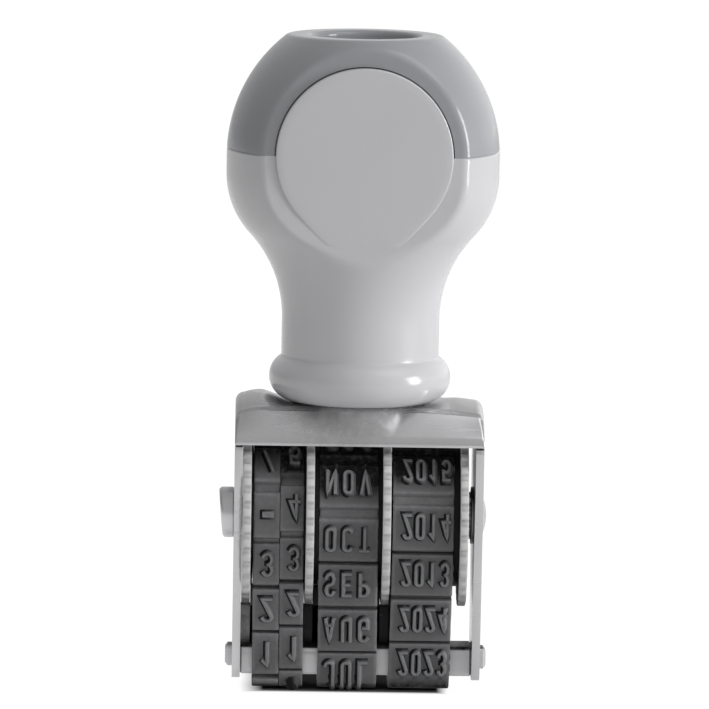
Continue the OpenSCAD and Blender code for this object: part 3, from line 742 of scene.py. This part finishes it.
def pad_profile(floor):
    """One pad's outline from groove to groove: place along the pad, height, and the mark of its rubbed edges. The
    groove's floor is at a height of its own; where it is raised, over the drum, it is painted lighter, partly
    as chalky rubber and partly as painted light in the groove."""
    # Raised groove floors are painted lighter: painted light in the recess.
    e, pale = PAD_EDGE, 0.5 * floor
    rise = [(-PAD_HALF - GROOVE_W / 2, floor, pale), (-PAD_HALF - 0.06, floor, pale),
            (-PAD_HALF - 0.02, floor + 0.1, pale / 2), (-PAD_HALF, PAD_H - e, 0.3),
            (-PAD_HALF + 0.3 * e, PAD_H - 0.3 * e, 0.5), (-PAD_HALF + e, PAD_H, 0.25)]
    top = [(v, PAD_H, 0.06) for v in np.linspace(-PAD_HALF + 0.5, PAD_HALF - 0.5, 9)]
    fall = [(-v, h, m) for v, h, m in rise[:0:-1]]
    return np.array(rise + top + fall).T


def band_lean(s, lean):
    """How far a band has strayed sideways at distance s: most under the platen, nothing over the drum."""
    w = np.mod(s, LOOP_LEN)
    m = np.minimum(w, LOOP_LEN - w)
    return lean * (0.5 + 0.5 * np.cos(np.pi * np.clip(m / RUN_END, 0, 1)))


def near_paper(z):
    """How close a height is to the paper, from 0 to 1."""
    return ease((WET_Z - z) / WET_RUN)


def band_grid(name, shift, lean, wave, grow, pale, shade_height):
    """A band as a closed ring: the pads' outline along the loop, carried across the band's width by a section with
    rounded edges.

    Pads stand a little wider than the grooves, and the band leans sideways down its run. Rubber that has crept
    sideways makes it grow by so much at its left and right edge. A rubbed band is pale all over, and old ink
    darkens it at the paper. Painted shade darkens it from a given height over the axle upwards, under the skirt."""
    low, high = span(f"{name}_band")
    outer, inner, along = [], [], []
    drum_start = RUN_END - 0.6 * PITCH
    for k in range(PAD_COUNT):
        s = settled(shift + k * PITCH)
        on_drum = drum_start < s % LOOP_LEN < LOOP_LEN - drum_start
        v, h, mark = pad_profile(FILLED_H if on_drum else 0.0)
        outer.append(pad_place(s, v, h))
        inner.append(loop_out(s + v, 0.0))
        along.append([s + v, h, mark + pale * (h > PAD_FACE)])
    outer, inner = np.concatenate(outer), np.concatenate(inner)
    s_all, h, mark = np.concatenate(along, 1)
    thick = np.linalg.norm(outer - inner, axis=1)
    unit = (outer - inner) / thick[:, None]
    middle, half = (low[0] + high[0]) / 2, (high[0] - low[0]) / 2
    narrow = np.where(h > 0.6, 0.0, 0.03) + wave * (0.5 + 0.5 * np.sin(s_all * 2.1 + shift * 5))
    e = PAD_EDGE
    section = [(0.06, None, 0), (0.0, 0.55, 0), (0.0, e, 0.3), (0.3 * e, 0.3 * e, 0.6), (e, 0.0, 0.4), (0.5, 0.0, 0)]
    section = [(-1, *c) for c in section] + [(1, *c) for c in section[::-1]]
    pts, marks = [], []
    for side, inset, depth, rub in section:
        yz = inner if depth is None else outer - unit * np.minimum(depth, thick * 0.6)[:, None]
        x = middle + side * (half - inset - narrow + grow[side > 0]) + band_lean(s_all, lean)
        pts.append(np.column_stack([x, yz]))
        # Painted shade on the band's top, under the skirt.
        shaded_top = ease((yz[:, 1] - AXLE_Z - shade_height) / SHADE_RUN)
        inked = WET_INK * near_paper(yz[:, 1]) + SHADE_DARK * shaded_top
        marks.append(np.maximum(mark, rub * (h > PAD_FACE)) - inked if depth is not None else 0 * mark)
    return np.stack(pts), np.concatenate(marks)


# Raised type

FLOOR_Z = -0.2
TALL, TYPE_TALL = 3.4, 3.0
STROKE, TYPE_H = 0.44, 0.65
CLOSED = "0O8D-"


def bow(cx, cy, rx, ry, start, end, steps=9):
    """Points on an ellipse's arc between two angles in degrees."""
    a = np.radians(np.linspace(start, end, steps + 1))
    return np.stack([cx + rx * np.cos(a), cy + ry * np.sin(a)], -1)


def type_strokes():
    """Each character as pen strokes in a cell one wide and TALL high: straight lines and bows. The strokes of the
    CLOSED characters close on themselves."""
    lines = lambda *p: np.array(p, float)
    join = lambda *p: np.concatenate(p)
    head = lambda a, b: bow(0.5, TALL - 0.5, 0.5, 0.5, a, b)
    foot = lambda a, b: bow(0.5, 0.5, 0.5, 0.5, a, b)
    upper = lambda a, b: bow(0.5, TALL * 0.75, 0.5, TALL * 0.25, a, b, 14)
    lower = lambda a, b: bow(0.5, TALL * 0.25, 0.5, TALL * 0.25, a, b, 14)
    mid = TALL / 2
    ring = join(head(0, 180), foot(180, 360))
    six = join(head(25, 180), lower(165, -190))
    post = lines((0, 0), (0, TALL))
    bar = lines((0, mid), (0.8, mid))
    eye = join(post, upper(90, -90), lines((0.05, mid)))
    return {
        "0": [ring], "O": [ring],
        "1": [lines((0.1, 2.75), (0.55, TALL), (0.55, 0))],
        "2": [join(head(170, -15), lines((0, 0), (1, 0)))],
        "3": [join(upper(150, -80), lower(80, -150))],
        "4": [lines((0.72, 0), (0.72, TALL), (0, 0.95), (1.05, 0.95))],
        "5": [join(lines((0.95, TALL), (0.08, TALL), (0.04, 1.75)), bow(0.46, 1.0, 0.54, 1.0, 130, -150, 14))],
        "6": [six], "9": [np.array([1, TALL]) - six],
        "7": [lines((0, TALL), (1, TALL), (0.35, 0))],
        "8": [upper(0, 360)[:-1], lower(0, 360)[:-1]],
        "A": [lines((0, 0), (0.5, TALL), (1, 0)), lines((0.16, 0.95), (0.84, 0.95))],
        "B": [eye, join(lower(90, -90), lines((0, 0)))],
        "C": [join(head(15, 180), foot(180, 345))],
        "D": [join(post, head(90, 0), foot(0, -90))],
        "E": [lines((0.95, TALL), (0, TALL), (0, 0), (0.95, 0)), bar],
        "F": [lines((0.95, TALL), (0, TALL), (0, 0)), bar],
        "G": [join(head(15, 180), foot(180, 360), lines((1, 1.35), (0.55, 1.35)))],
        "J": [join(lines((1, TALL)), foot(0, -175))],
        "L": [lines((0, TALL), (0, 0), (0.95, 0))],
        "M": [lines((0, 0), (0, TALL), (0.5, 1.1), (1, TALL), (1, 0))],
        "N": [lines((0, 0), (0, TALL), (1, 0), (1, TALL))],
        "P": [eye], "R": [eye, lines((0.5, mid), (1, 0))],
        "S": [join(upper(20, 262), lower(82, -160))],
        "T": [lines((0, TALL), (1, TALL)), lines((0.5, TALL), (0.5, 0))],
        "U": [join(lines((0, TALL)), foot(180, 360), lines((1, TALL)))],
        "V": [lines((0, TALL), (0.5, 0), (1, TALL))],
        "Y": [lines((0, TALL), (0.5, 1.5), (1, TALL)), lines((0.5, 1.5), (0.5, 0))],
        "-": [lines((0.05, 1.55), (0.95, 1.55), (0.95, 1.95), (0.05, 1.95))],
        "/": [lines((0.1, 0), (0.9, TALL))],
    }


STROKES = type_strokes()


def even_points(line, closed, step):
    """A stroke's points with more put in along its longer straights."""
    ends = np.roll(line, -1, 0) if closed else line[1:]
    starts = line if closed else line[:-1]
    count = np.maximum(1, np.ceil(np.linalg.norm(ends - starts, axis=1) / step).astype(int))
    parts = [a + (b - a) * (np.arange(n) / n)[:, None] for a, b, n in zip(starts, ends, count)]
    return np.concatenate(parts + ([] if closed else [line[-1:]]))


def ridge(line, closed, place):
    """A raised stroke: a narrow bank with sloped sides carried along the line, mitred at its turns and closed at
    its ends. Ink lies along its foot; painted shadow darkens the left foot and painted light brightens the right
    edges. place puts points onto the band, given along X, along the pad and above it."""
    if not closed:
        run = np.linalg.norm(line[[0, -1]] - line[[1, -2]], axis=1)[:, None]
        line = line.copy()
        line[[0, -1]] += (line[[0, -1]] - line[[1, -2]]) / run * STROKE * 0.4
    line = even_points(line, closed, 0.45)
    ahead = np.roll(line, -1, 0) - line
    behind = line - np.roll(line, 1, 0)
    if not closed:
        ahead[-1], behind[0] = behind[-1], ahead[0]
    ahead /= np.linalg.norm(ahead, axis=1)[:, None]
    behind /= np.linalg.norm(behind, axis=1)[:, None]
    tangent = ahead + behind
    tangent /= np.maximum(np.linalg.norm(tangent, axis=1), 1e-6)[:, None]
    mitre = 1 / np.clip((tangent * ahead).sum(1), 0.55, 1)
    normal = np.stack([-tangent[:, 1], tangent[:, 0]], -1) * mitre[:, None]
    wide, crest = STROKE * 0.78, STROKE * 0.42
    # The third value darkens the foot: ink, and painted shade in the counters.
    bank = [(-wide - 0.4, -0.06, 0.6), (-wide - 0.04, 0.02, 2.4), (-crest - 0.05, TYPE_H * 0.75, 1.2),
            (-crest + 0.05, TYPE_H, 0.0)]
    bank += [(-across, up, ink) for across, up, ink in bank[::-1]]
    rows = np.stack([place(line + normal * across, np.full(len(line), up)) for across, up, _ in bank], 1)
    # Painted shadow on each stroke's left side and painted highlight on its right edges, as from light at the right.
    side_to_light = normal[:, :1] / mitre[:, None] * np.sign([b[0] for b in bank])
    ink = np.clip(0.5 - 0.8 * side_to_light, 0, 1.3) * [b[2] for b in bank]
    worn_and_lit = [0.0, 0.0, 0.3, 0.6, 0.6, 0.3, 0.0, 0.0] + 0.3 * np.clip(side_to_light, 0, 1) * [0, 1, 1, 0, 0, 1, 1, 0]
    rub = (worn_and_lit - ink - 2.5 * near_paper(rows[..., 2])).ravel()
    if not closed:
        rows = capped(rows)
        rub = np.concatenate([rub[:len(bank)], rub, rub[-len(bank):]])
    return (rows, closed, True), rub


def band_type(name, shift, lean, words, wide, pitch, offset):
    """All raised characters of a band. They stand upside down on the front run, so that a print reads right, and
    are pressed flat where they stand on the paper."""
    low, high = span(f"{name}_band")
    middle = (low[0] + high[0]) / 2 + offset[0]
    tall = TYPE_TALL / TALL
    grids, rubs = [], []
    for k, word in words.items():
        s = settled(shift + k * PITCH)

        def place(flat, up):
            yz = pad_place(s, flat[:, 1], PAD_H + up)
            yz[:, 1] = np.maximum(yz[:, 1], FLOOR_Z + 0.02)
            return np.column_stack([flat[:, 0] + band_lean(s + flat[:, 1], lean), yz])

        for n, letter in enumerate(word):
            left = middle + (n - (len(word) - 1) / 2) * pitch - wide / 2
            for line in STROKES[letter]:
                flat = np.stack([left + line[:, 0] * wide, offset[1] - (line[:, 1] - TALL / 2) * tall], -1)
                grid, rub = ridge(flat, letter in CLOSED, place)
                grids.append(grid)
                rubs.append(rub)
    return grids, np.concatenate(rubs)


MONTHS = ("JUN", "JUL", "AUG", "SEP", "OCT", "NOV", "DEC", "JAN", "FEB", "MAR", "APR", "MAY")
YEARS = (2022, 2023, 2024, 2013, 2014, 2015, 2016, 2017, 2018, 2019, 2020, 2021)
# How each band lies on its loop, how it is rubbed and painted with shade, and its type
BANDS = {
    "tens": (dict(shift=0.75, lean=0.1), dict(wave=0.01, grow=(0.0, 0.145), pale=0.2, shade_height=6.5),
             dict(words={1: "1", 2: "2", 3: "3", 4: "-", 5: "/", 7: "1", 8: "2", 9: "3"}, wide=1.2, pitch=1.0,
                  offset=(0.2, 0.15))),
    "units": (dict(shift=1.55, lean=0.15), dict(wave=0.01, grow=(0.145, 0.0), pale=0.16, shade_height=4.0),
              dict(words={k: str(k) for k in range(10)}, wide=1.1, pitch=1.0, offset=(0.2, 0.15))),
    "month": (dict(shift=-1.95, lean=0.1), dict(wave=0.03, grow=(0.0, 0.0), pale=0.06, shade_height=2.2),
              dict(words=dict(enumerate(MONTHS)), wide=1.0, pitch=2.2, offset=(-0.15, 0.3))),
    "year": (dict(shift=-0.45, lean=-0.2), dict(wave=0.03, grow=(0.0, 0.0), pale=0.02, shade_height=4.0),
             dict(words=dict(enumerate(map(str, YEARS))), wide=0.84, pitch=1.66, offset=(0.4, 0.3))),
}


def make_bands():
    for name, (lie, wear_and_shade, letters) in BANDS.items():
        pts, marks = band_grid(name, **lie, **wear_and_shade)
        piece(f"{name}_band_loop", [(pts, True, True)], RUBBER, nodes=[f"{name}_band"], sharp=45, marks=marks)
        grids, rub = band_type(name, **lie, **letters)
        piece(f"{name}_type", grids, RUBBER, sharp=50, marks=rub)


# Axle, washers, platen and screw

AXLE_R, HEAD_TILT, LUG_H = 2.0, 0.085, 2.7


def bar_along_x(outline, stations):
    """A closed bar: an outline in depth and height repeated along X, drawn in to a point at both ends."""
    centre = (outline.min(0) + outline.max(0)) / 2
    rings = [np.column_stack([np.full(len(outline), x), centre + (outline - centre) * k]) for x, k in stations]
    return np.stack(rings)


def rounded_box(half_y, low_z, high_z, radius, steps=6):
    """A rectangle in depth and height with rounded corners."""
    y, low, high = half_y - radius, low_z + radius, high_z - radius
    corners = ((y, low, -90), (y, high, 0), (-y, high, 90), (-y, low, 180))
    return np.concatenate([arc((cy, cz), radius, a, a + 90, steps) for cy, cz, a in corners])


def rib_parts(inner_x):
    """The guide rib on the platen, as stretches along X with their tops: a low one along the whole rib, and teeth
    between the wheels' rims that reach up under the drums. Painted dark, they fill the slots between the bands
    where shade falls."""
    gap, under = 0.06, 0.12
    end = span("year_band")[1][0] - 0.8
    parts = [(-inner_x, end, AXLE_Z - WHEEL_R - under)]
    rims = [span("tens_wheel")[0][0] + RIM_T] + [span(f"{n}_wheel")[1][0] for n in ("units", "month", "year")]
    for before, after in zip(rims, rims[1:]):
        parts.append((before + gap, min(after - RIM_T - gap, end), AXLE_Z - FLANGE_R - under))
    return parts


def make_axle():
    """A head at the left, slightly askew, and a domed rivet at the right."""
    low, high = span("axle")
    head_r, head_edge = (high[2] - low[2]) / 2, 0.5
    rivet_r, rivet_h = 2.85, high[0] - FRAME_X
    ball = (rivet_r ** 2 + rivet_h ** 2) / (2 * rivet_h)
    spread = math.degrees(math.asin(rivet_r / ball))
    dome = arc((high[0] - ball, 0), ball, spread, 0, 12)
    head = arc((low[0] + head_edge, head_r - head_edge), head_edge, 180, 90, 6)
    shaft = [[-FRAME_X - 0.15, head_r], [-FRAME_X, head_r - 0.12], [-FRAME_X, AXLE_R], [FRAME_X, AXLE_R],
             [FRAME_X, rivet_r - 0.05]]
    rod = turn_about_axle(np.concatenate([[[low[0], 0], [low[0], 1.2]], head, shaft, dome]), 96)
    askew = np.clip((-FRAME_X - rod[..., 0]) / (-FRAME_X - low[0]), 0, 1)
    rod[..., 0] -= HEAD_TILT * askew * (rod[..., 2] - AXLE_Z)
    piece("axle_rod", [(rod, False, True)], AXLE, nodes=["axle"])


def make_washers():
    low, high = span("plain_washer")
    r, e = (high[2] - low[2]) / 2, 0.08
    disc = np.array([[low[0], BORE_R], [low[0], r - e], [low[0] + e, r], [high[0] - e, r], [high[0], r - e],
                     [high[0], BORE_R]])
    piece("plain_washer_disc", [(turn_about_axle(disc, 96), True, True)], WASHER, nodes=["plain_washer"])
    low, high = span("toothed_washer")
    a = full_turn(144)
    tooth = (high[2] - low[2]) / 2 - 0.25 + 0.25 * np.clip(1.6 * np.cos(12 * a), -1, 1)
    twist = 0.1 * np.sin(12 * a)
    x0, x1 = low[0] + 0.05, high[0] - 0.05
    section = [(x0, BORE_R), (x0 + twist.clip(0), tooth), (x1 + twist.clip(-1, 0), tooth), (x1, BORE_R)]
    star = np.stack([about_axle(x, r, a) for x, r in section])
    piece("toothed_washer_ring", [(star, True, True)], WASHER, nodes=["toothed_washer"])


def make_platen():
    """The bar with its rounded edges, its lugs and the guide rib. The bar's top and the rib are painted dark as
    shade, the rib less so at its left end.
    """
    inner_x = FRAME_X - SHEET_T
    lug_z = PLATEN_Z + (PLATEN_TOP - PLATEN_Z - LUG_H) / 2 + 0.25
    forms = [(rounded_box(PLATEN_D / 2, PLATEN_Z, PLATEN_TOP, PLATEN_R), inner_x - 0.02, 0.2, 0.93),
             (rounded_box(1.8, lug_z, lug_z + LUG_H, 0.45), span("platen")[1][0], 0.35, 0.7)]
    grids = []
    for outline, x, edge, share in forms:
        stations = [(-x, 0), (-x, share), (-x + edge, 1), (x - edge, 1), (x, share), (x, 0)]
        grids.append((bar_along_x(outline, stations), False, True))
    # Painted shade on the bar's top.
    inked = [1.2 * (g[0][..., 2] > PLATEN_TOP - 0.4).ravel() for g in grids]
    for x0, x1, top in rib_parts(inner_x):
        at = np.array([x0, x0, min(x0 + 1.4, x1), min(x0 + 2.2, x1), x1, x1])
        part = bar_along_x(rounded_box(0.8, PLATEN_TOP - 0.3, top, 0.12, 3), zip(at, (0, 1, 1, 1, 1, 0)))
        grids.append((part, False, True))
        # Painted shade on the rib, lighter at its left end.
        inked.append(np.repeat(1.5 - 1.05 * (at < -13.5), part.shape[1]))
    piece("platen_bar", grids, PLATEN, nodes=["platen"], marks=np.concatenate(inked))


def make_screw():
    """The handle's screw, with a small socket in its head, and the split washer on it."""
    low, high = span("handle_screw")
    head_r, head_h, rod = high[0], 1.5, 1.5
    head = arc((head_r - 0.4, low[2] + 0.4), 0.4, -90, 0, 6)
    outline = np.concatenate([[[0, low[2] + 0.7], [0.55, low[2] + 0.7], [0.75, low[2]]], head,
                              [[head_r, low[2] + head_h], [rod, low[2] + head_h], [rod, high[2] - 0.5],
                               [rod - 0.5, high[2]], [0, high[2]]]])
    piece("handle_screw_turned", [(turn_about_z(outline, 72), False, True)], AXLE, nodes=["handle_screw"])
    low, high = span("spring_washer")
    a = np.linspace(np.radians(4), np.radians(356), 90)
    rise = 0.06 * (a - np.pi) / np.pi
    section = [(1.6, low[2]), (high[0], low[2]), (high[0], high[2] - 0.08), (1.6, high[2] - 0.08)]
    rings = [np.stack([r * np.sin(a), -r * np.cos(a), z + 0.04 + rise * 0.6], -1) for r, z in section]
    piece("spring_washer_split", [(capped(np.stack(rings, 1)), False, True)], WASHER, nodes=["spring_washer"])


make_handle()
make_frame()
make_wheels()
make_bands()
make_axle()
make_washers()
make_platen()
make_screw()

# Stage, light and camera

PAPER, GLOW, GLARE, MIRRORED = 0.72, 1.12, 0.85, 0.4


def make_floor():
    """A wide pale disc under the stamp. The camera sees it white, save for the shadow close under the stamp, where
    the paper is also painted darker; a look from low down also finds that painted shadow behind it."""
    rings = np.array([[r, FLOOR_Z] for r in (0.0, 60.0, 400.0, 3000.0)])
    mesh = make_mesh("floor", [(turn_about_z(rings, 64), False, True)], closed=False)
    material = bpy.data.materials.new("floor_paper")
    material.use_nodes = True
    tree = material.node_tree
    tree.nodes.clear()
    path = node(tree, "LightPath").outputs
    place = node(tree, "SeparateXYZ", {0: node(tree, "TexCoord").outputs["Object"]}).outputs
    x, y = place["X"], place["Y"]
    low = stretch(tree, node(tree, "LayerWeight").outputs["Facing"], 0.8, 0.83, 1.0, 0.35)
    behind = stretch(tree, maths(tree, "MULTIPLY", y, low), 4.2 * MM, 7.5 * MM)
    beside = maths(tree, "MAXIMUM", stretch(tree, x, 10.6 * MM, 12 * MM), stretch(tree, x, -12 * MM, -15 * MM))
    beyond = maths(tree, "MAXIMUM", stretch(tree, y, -4.6 * MM, -6 * MM), behind)
    lit = maths(tree, "MAXIMUM", beside, beyond)
    shade = maths(tree, "MULTIPLY", path["Is Camera Ray"], maths(tree, "SUBTRACT", 1.0, lit))
    # Painted shadow: for the camera the paper is painted darker under and behind the stamp.
    dark = maths(tree, "MULTIPLY", shade, stretch(tree, y, -5 * MM, -2 * MM, 0.5, 0.69))
    paper = node(tree, "BsdfDiffuse", {"Color": maths(tree, "SUBTRACT", PAPER, dark)})
    glow = node(tree, "Emission", {"Color": (1.0, 1.0, 1.0), "Strength": GLOW})
    glare = maths(tree, "MULTIPLY", path["Is Camera Ray"], maths(tree, "MULTIPLY", lit, GLARE))
    seen = maths(tree, "ADD", glare, maths(tree, "MULTIPLY", path["Is Glossy Ray"], MIRRORED))
    mixed = node(tree, "MixShader", {0: seen, 1: paper.outputs[0], 2: glow.outputs[0]})
    node(tree, "OutputMaterial", {"Surface": mixed.outputs[0]})
    mesh.materials.append(material)
    link("floor", mesh)


def soft_lamp(name, place, aim, wide, high, watts):
    """A soft box at a place, in millimetres, turned to its aim."""
    data = bpy.data.lights.new(name, "AREA")
    data.shape, data.size, data.size_y, data.energy = "RECTANGLE", wide * MM, high * MM, watts
    lamp = link(name, data)
    lamp.location = Vector(place) * MM
    lamp.rotation_euler = (Vector(aim) - Vector(place)).to_track_quat("-Z", "Y").to_euler()
    return lamp


def make_world():
    """Soft light from all round, brighter from the right, from above and from the front, with a bright window at
    the right and one at the back right. The camera sees it white."""
    world = bpy.data.worlds.new("studio")
    bpy.context.scene.world = world
    world.use_nodes = True
    tree = world.node_tree
    tree.nodes.clear()
    way = node(tree, "TexCoord").outputs["Generated"]
    towards = lambda aim: node(tree, "VectorMath", {0: way, 1: aim}, operation="DOT_PRODUCT").outputs["Value"]
    split = node(tree, "SeparateXYZ", {0: way}).outputs
    wall = maths(tree, "ADD", stretch(tree, split["Y"], 0.4, 0.95, 0.455, 0.8), towards((0.18, -0.13, 0.12)))
    window = maths(tree, "ADD", wall, stretch(tree, split["X"], 0.9, 1.0, 0.0, 0.6))
    level = maths(tree, "ADD", window, stretch(tree, towards((0.6, 0.8, 0.0)), 0.75, 1.0, 0.0, 0.7))
    path = node(tree, "LightPath").outputs
    direct = maths(tree, "MAXIMUM", path["Is Camera Ray"], path["Is Transmission Ray"])
    seen = node(tree, "Mix", {"Factor": direct, "A": level, "B": 1.0})
    sky = node(tree, "Background", {"Strength": seen.outputs[0]})
    node(tree, "OutputWorld", {"Surface": sky.outputs[0]})


def make_camera():
    """The photograph's view: a long lens from a little left of the front and a little above, slightly rolled."""
    azimuth, distance, height = math.radians(-0.983), 1000.0, 163.694
    focal_pixels, photo_pixels, sensor_mm = 7749.3, 709, 36.0
    aim = Vector((-0.717, 0.0, 43.377))
    place = Vector((math.sin(azimuth) * distance, -math.cos(azimuth) * distance, height))
    roll = math.radians(0.934)
    ahead = (aim - place).normalized()
    right = ahead.cross(Vector((0, 0, 1))).normalized()
    up = right.cross(ahead)
    turned = math.cos(roll) * right + math.sin(roll) * up
    upright = math.cos(roll) * up - math.sin(roll) * right
    data = bpy.data.cameras.new("camera")
    data.sensor_width, data.lens, data.clip_start = sensor_mm, sensor_mm * focal_pixels / photo_pixels, 0.05
    camera = link("camera", data)
    turn = Matrix((turned, upright, -ahead)).transposed().to_4x4()
    camera.matrix_world = Matrix.Translation(place * MM) @ turn
    bpy.context.scene.camera = camera


make_floor()
make_world()
middle = (0, 0, 45)
soft_lamp("key", (540, -165, 150), middle, 170, 280, 1.75)
soft_lamp("top", (-120, 420, 420), middle, 300, 300, 1.4).visible_glossy = False
soft_lamp("card", (132, -100, 260), (40, -40, 40), 160, 160, 0.1)
make_camera()
bpy.context.scene.view_settings.view_transform = "Standard"
